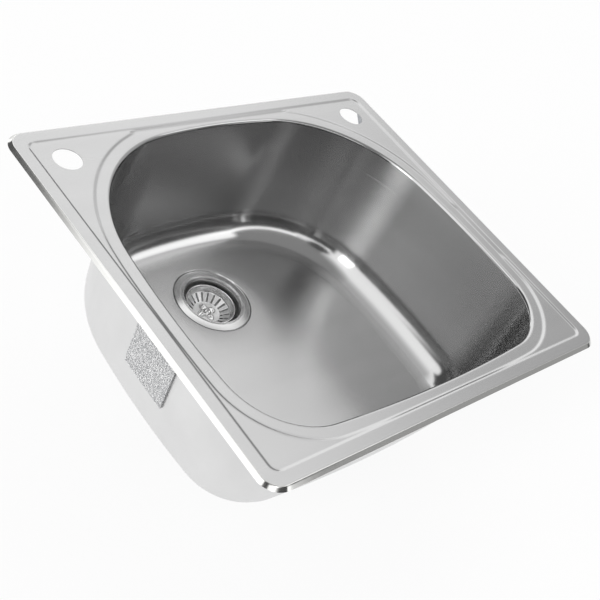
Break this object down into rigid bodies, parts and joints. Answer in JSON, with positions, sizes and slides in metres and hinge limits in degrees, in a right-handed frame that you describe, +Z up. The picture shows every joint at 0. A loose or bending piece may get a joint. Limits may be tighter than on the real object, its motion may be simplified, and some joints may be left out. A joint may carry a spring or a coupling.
{
  "type": "drop-in sink",
  "caption": "D-shaped stainless drop-in kitchen sink with widespread tap holes, an off-centre basket strainer and adjustable mounting clips in rails under its rim.",
  "frame": {"origin": "middle of the rim, in the plane of the worktop that the rim's lower edge rests on", "axes": "+X to the right as seen from the front, +Y to the back where the tap holes are, +Z up out of the bowl"},
  "size_m": [0.635, 0.559, 0.2762],
  "materials": {
    "brushed_stainless": "satin brushed, polished along the bevelled edge",
    "damping_pad": "matt grey, speckled",
    "foam_strip": "matt foam",
    "rail_steel": "plain bent strip",
    "polished_stainless": "polished",
    "black_rubber": "matt",
    "fibre": "matt",
    "cast_zinc": "dull die-cast",
    "chromed_brass": "bright plated",
    "white_plastic": "soft, matt",
    "spring_steel": "plain",
    "zinc_plated_steel": "bright zinc plated"
  },
  "bodies": {
    "sink": {"sink_shell": "brushed_stainless", "sound_pad_side": "damping_pad", "sound_pad_floor": "damping_pad", "rim_seal": "foam_strip", "rail_left": "rail_steel", "rail_right": "rail_steel", "rail_front": "rail_steel", "rail_back_left": "rail_steel", "rail_back_right": "rail_steel", "strainer_body": "polished_stainless", "strainer_gasket": "black_rubber", "friction_ring": "fibre", "lock_nut": "cast_zinc", "coupling_nut": "chromed_brass", "tail_washer": "white_plastic"},
    "basket_stem": {"basket_post": "polished_stainless", "basket_knob": "polished_stainless", "basket_stopper": "black_rubber", "snap_ring": "spring_steel"},
    "basket": {"basket_cup": "polished_stainless"},
    "clip_left_nut": {"clip_nut_left": "zinc_plated_steel"},
    "clip_left_lift": {"clip_washer_left": "zinc_plated_steel"},
    "clip_left_screw": {"clip_screw_left": "zinc_plated_steel"},
    "clip_left_foot": {"clip_foot_left": "zinc_plated_steel"},
    "clip_right_nut": {"clip_nut_right": "zinc_plated_steel"},
    "clip_right_lift": {"clip_washer_right": "zinc_plated_steel"},
    "clip_right_screw": {"clip_screw_right": "zinc_plated_steel"},
    "clip_right_foot": {"clip_foot_right": "zinc_plated_steel"},
    "clip_front_left_nut": {"clip_nut_front_left": "zinc_plated_steel"},
    "clip_front_left_lift": {"clip_washer_front_left": "zinc_plated_steel"},
    "clip_front_left_screw": {"clip_screw_front_left": "zinc_plated_steel"},
    "clip_front_left_foot": {"clip_foot_front_left": "zinc_plated_steel"},
    "clip_front_right_nut": {"clip_nut_front_right": "zinc_plated_steel"},
    "clip_front_right_lift": {"clip_washer_front_right": "zinc_plated_steel"},
    "clip_front_right_screw": {"clip_screw_front_right": "zinc_plated_steel"},
    "clip_front_right_foot": {"clip_foot_front_right": "zinc_plated_steel"},
    "clip_back_left_nut": {"clip_nut_back_left": "zinc_plated_steel"},
    "clip_back_left_lift": {"clip_washer_back_left": "zinc_plated_steel"},
    "clip_back_left_screw": {"clip_screw_back_left": "zinc_plated_steel"},
    "clip_back_left_foot": {"clip_foot_back_left": "zinc_plated_steel"},
    "clip_back_right_nut": {"clip_nut_back_right": "zinc_plated_steel"},
    "clip_back_right_lift": {"clip_washer_back_right": "zinc_plated_steel"},
    "clip_back_right_screw": {"clip_screw_back_right": "zinc_plated_steel"},
    "clip_back_right_foot": {"clip_foot_back_right": "zinc_plated_steel"}
  },
  "joints": [
    {"name": "basket_lift", "type": "slide", "parent": "sink", "child": "basket_stem", "axis": [0, 0, 1], "range_m": [0, 0.09]},
    {"name": "basket_spin", "type": "hinge", "parent": "basket_stem", "child": "basket", "pos_m": [-0.0175, 0.1033, -0.2316], "axis": [0, 0, 1], "continuous": true},
    {"name": "clip_left_slide", "type": "slide", "parent": "sink", "child": "clip_left_nut", "axis": [0, 1, 0], "range_m": [-0.18, 0.18]},
    {"name": "clip_left_rise", "type": "slide", "parent": "clip_left_nut", "child": "clip_left_lift", "axis": [0, 0, 1], "range_m": [-0.01, 0]},
    {"name": "clip_left_turn", "type": "hinge", "parent": "clip_left_lift", "child": "clip_left_screw", "pos_m": [-0.2847, 0, -0.014], "axis": [0, 0, 1], "range_deg": [-4500, 0]},
    {"name": "clip_left_swing", "type": "hinge", "parent": "clip_left_lift", "child": "clip_left_foot", "pos_m": [-0.2847, 0, -0.0243], "axis": [0, 0, 1], "range_deg": [0, 90]},
    {"name": "clip_right_slide", "type": "slide", "parent": "sink", "child": "clip_right_nut", "axis": [0, 1, 0], "range_m": [-0.18, 0.18]},
    {"name": "clip_right_rise", "type": "slide", "parent": "clip_right_nut", "child": "clip_right_lift", "axis": [0, 0, 1], "range_m": [-0.01, 0]},
    {"name": "clip_right_turn", "type": "hinge", "parent": "clip_right_lift", "child": "clip_right_screw", "pos_m": [0.2847, 0, -0.014], "axis": [0, 0, 1], "range_deg": [-4500, 0]},
    {"name": "clip_right_swing", "type": "hinge", "parent": "clip_right_lift", "child": "clip_right_foot", "pos_m": [0.2847, 0, -0.0243], "axis": [0, 0, 1], "range_deg": [0, 90]},
    {"name": "clip_front_left_slide", "type": "slide", "parent": "sink", "child": "clip_front_left_nut", "axis": [1, 0, 0], "range_m": [-0.05, 0.05]},
    {"name": "clip_front_left_rise", "type": "slide", "parent": "clip_front_left_nut", "child": "clip_front_left_lift", "axis": [0, 0, 1], "range_m": [-0.01, 0]},
    {"name": "clip_front_left_turn", "type": "hinge", "parent": "clip_front_left_lift", "child": "clip_front_left_screw", "pos_m": [-0.11, -0.2507, -0.014], "axis": [0, 0, 1], "range_deg": [-4500, 0]},
    {"name": "clip_front_left_swing", "type": "hinge", "parent": "clip_front_left_lift", "child": "clip_front_left_foot", "pos_m": [-0.11, -0.2507, -0.0243], "axis": [0, 0, 1], "range_deg": [0, 90]},
    {"name": "clip_front_right_slide", "type": "slide", "parent": "sink", "child": "clip_front_right_nut", "axis": [1, 0, 0], "range_m": [-0.05, 0.05]},
    {"name": "clip_front_right_rise", "type": "slide", "parent": "clip_front_right_nut", "child": "clip_front_right_lift", "axis": [0, 0, 1], "range_m": [-0.01, 0]},
    {"name": "clip_front_right_turn", "type": "hinge", "parent": "clip_front_right_lift", "child": "clip_front_right_screw", "pos_m": [0.11, -0.2507, -0.014], "axis": [0, 0, 1], "range_deg": [-4500, 0]},
    {"name": "clip_front_right_swing", "type": "hinge", "parent": "clip_front_right_lift", "child": "clip_front_right_foot", "pos_m": [0.11, -0.2507, -0.0243], "axis": [0, 0, 1], "range_deg": [0, 90]},
    {"name": "clip_back_left_slide", "type": "slide", "parent": "sink", "child": "clip_back_left_nut", "axis": [1, 0, 0], "range_m": [-0.03, 0.03]},
    {"name": "clip_back_left_rise", "type": "slide", "parent": "clip_back_left_nut", "child": "clip_back_left_lift", "axis": [0, 0, 1], "range_m": [-0.01, 0]},
    {"name": "clip_back_left_turn", "type": "hinge", "parent": "clip_back_left_lift", "child": "clip_back_left_screw", "pos_m": [-0.16, 0.2507, -0.014], "axis": [0, 0, 1], "range_deg": [-4500, 0]},
    {"name": "clip_back_left_swing", "type": "hinge", "parent": "clip_back_left_lift", "child": "clip_back_left_foot", "pos_m": [-0.16, 0.2507, -0.0243], "axis": [0, 0, 1], "range_deg": [0, 90]},
    {"name": "clip_back_right_slide", "type": "slide", "parent": "sink", "child": "clip_back_right_nut", "axis": [1, 0, 0], "range_m": [-0.03, 0.03]},
    {"name": "clip_back_right_rise", "type": "slide", "parent": "clip_back_right_nut", "child": "clip_back_right_lift", "axis": [0, 0, 1], "range_m": [-0.01, 0]},
    {"name": "clip_back_right_turn", "type": "hinge", "parent": "clip_back_right_lift", "child": "clip_back_right_screw", "pos_m": [0.16, 0.2507, -0.014], "axis": [0, 0, 1], "range_deg": [-4500, 0]},
    {"name": "clip_back_right_swing", "type": "hinge", "parent": "clip_back_right_lift", "child": "clip_back_right_foot", "pos_m": [0.16, 0.2507, -0.0243], "axis": [0, 0, 1], "range_deg": [0, 90]}
  ],
  "couplings": [
    {"joint": "clip_left_turn", "follows": "clip_left_rise", "rad_per_m": 7853.9},
    {"joint": "clip_right_turn", "follows": "clip_right_rise", "rad_per_m": 7853.9},
    {"joint": "clip_front_left_turn", "follows": "clip_front_left_rise", "rad_per_m": 7853.9},
    {"joint": "clip_front_right_turn", "follows": "clip_front_right_rise", "rad_per_m": 7853.9},
    {"joint": "clip_back_left_turn", "follows": "clip_back_left_rise", "rad_per_m": 7853.9},
    {"joint": "clip_back_right_turn", "follows": "clip_back_right_rise", "rad_per_m": 7853.9}
  ]
}
